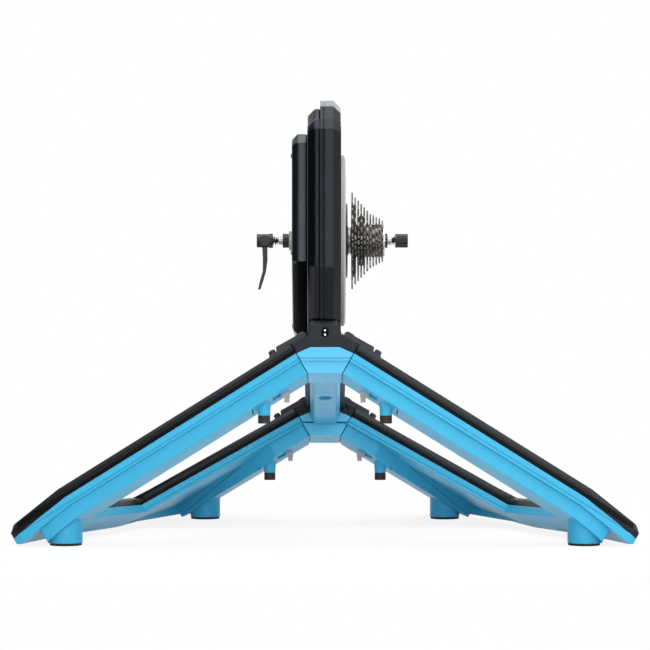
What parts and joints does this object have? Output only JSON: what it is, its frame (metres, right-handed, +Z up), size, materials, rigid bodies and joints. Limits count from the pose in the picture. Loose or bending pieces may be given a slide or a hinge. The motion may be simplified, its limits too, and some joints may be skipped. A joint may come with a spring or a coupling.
{
  "type": "direct drive bike trainer",
  "caption": "Indoor direct drive bike trainer: upright motor housing on a sloping spine, stepped cassette and skewer on a cross axle, and hinged triangular leg wings with round feet.",
  "frame": {"origin": "on the floor, midway between the ends of the bounding box along X and Y", "axes": "+X to the cassette side, +Y to the front where the spine slopes down, +Z up"},
  "size_m": [0.75, 0.5742, 0.5445],
  "materials": {
    "blue_casting": "satin",
    "wing_cover_black": "satin",
    "housing_black": "fine satin grain",
    "side_cover_grey": "satin",
    "liner_grey": "satin",
    "hinge_black": "satin",
    "steel": "brushed",
    "bright_pins": "polished",
    "black_alloy": "anodised satin",
    "rotor_metal": "machined",
    "magnet_dark": "coated",
    "lamination_steel": "matt",
    "stator_alloy": "cast",
    "copper_windings": "enamelled",
    "board_green": "coated",
    "capacitor_black": "gloss",
    "disc_dark": "satin",
    "sprocket_steel": "plated",
    "carrier_dark": "anodised",
    "spacer_grey": "satin",
    "lockring_metal": "plated",
    "rubber_black": "matt",
    "clear_clip": "translucent"
  },
  "bodies": {
    "trainer": {"frame_casting": "blue_casting", "rear_hub_cover": "wing_cover_black", "front_hub_cover": "wing_cover_black", "hinge_brackets": "hinge_black", "hinge_pins": "hinge_black", "left_housing": "housing_black", "right_housing": "housing_black", "motor_cover": "housing_black", "side_cover": "side_cover_grey", "carry_handle": "liner_grey", "axle_boss_ring": "liner_grey", "cover_screws": "steel", "main_axle": "steel", "left_axle_adapter": "black_alloy", "right_axle_adapter": "black_alloy", "stator_carrier": "stator_alloy", "stator_core": "lamination_steel", "stator_coils": "copper_windings", "control_board": "board_green", "board_capacitors": "capacitor_black", "power_inlet": "bright_pins"},
    "rotor": {"rotor_drum": "rotor_metal", "rotor_hub": "rotor_metal", "rotor_magnets": "magnet_dark", "rotor_bearings": "steel", "perforated_disc": "disc_dark", "drive_ratchet": "steel"},
    "cassette": {"freehub_body": "black_alloy", "freehub_bearings": "steel", "large_carrier": "carrier_dark", "middle_carrier": "carrier_dark", "cassette_spacers": "spacer_grey", "cassette_lockring": "lockring_metal", "sprocket_28": "sprocket_steel", "sprocket_25": "sprocket_steel", "sprocket_23": "sprocket_steel", "sprocket_21": "sprocket_steel", "sprocket_19": "sprocket_steel", "sprocket_17": "sprocket_steel", "sprocket_15": "sprocket_steel", "sprocket_14": "sprocket_steel", "small_sprockets": "sprocket_steel"},
    "skewer": {"skewer_rod": "steel", "skewer_head": "black_alloy", "left_spring": "steel", "right_spring": "steel"},
    "lever": {"skewer_lever": "black_alloy"},
    "nut": {"skewer_nut": "black_alloy"},
    "left_wing": {"left_wing_casting": "blue_casting", "left_wing_cover": "wing_cover_black", "left_foot_pads": "rubber_black", "peg_caps_left": "rubber_black", "left_hinge_leaves": "hinge_black", "left_stop_clips": "clear_clip"},
    "right_wing": {"right_wing_casting": "blue_casting", "right_wing_cover": "wing_cover_black", "right_foot_pads": "rubber_black", "peg_caps_right": "rubber_black", "right_hinge_leaves": "hinge_black", "right_stop_clips": "clear_clip"}
  },
  "joints": [
    {"name": "right_wing_fold", "type": "hinge", "parent": "trainer", "child": "right_wing", "pos_m": [0.027, -0.231, 0.24857], "axis": [0, -0.9659, 0.2588], "range_deg": [0, 108]},
    {"name": "left_wing_fold", "type": "hinge", "parent": "trainer", "child": "left_wing", "pos_m": [-0.027, -0.231, 0.24857], "axis": [0, 0.9659, -0.2588], "range_deg": [0, 108]},
    {"name": "rotor_spin", "type": "hinge", "parent": "trainer", "child": "rotor", "pos_m": [0, -0.095, 0.368], "axis": [1, 0, 0], "continuous": true},
    {"name": "cassette_freewheel", "type": "hinge", "parent": "rotor", "child": "cassette", "pos_m": [0, -0.095, 0.368], "axis": [1, 0, 0], "continuous": true},
    {"name": "skewer_turn", "type": "hinge", "parent": "trainer", "child": "skewer", "pos_m": [0, -0.095, 0.368], "axis": [1, 0, 0], "continuous": true},
    {"name": "lever_cam", "type": "hinge", "parent": "skewer", "child": "lever", "pos_m": [-0.0749, -0.095, 0.368], "axis": [0, 1, 0], "range_deg": [0, 180]},
    {"name": "nut_spin", "type": "hinge", "parent": "skewer", "child": "nut", "pos_m": [0, -0.095, 0.368], "axis": [1, 0, 0], "continuous": true}
  ]
}
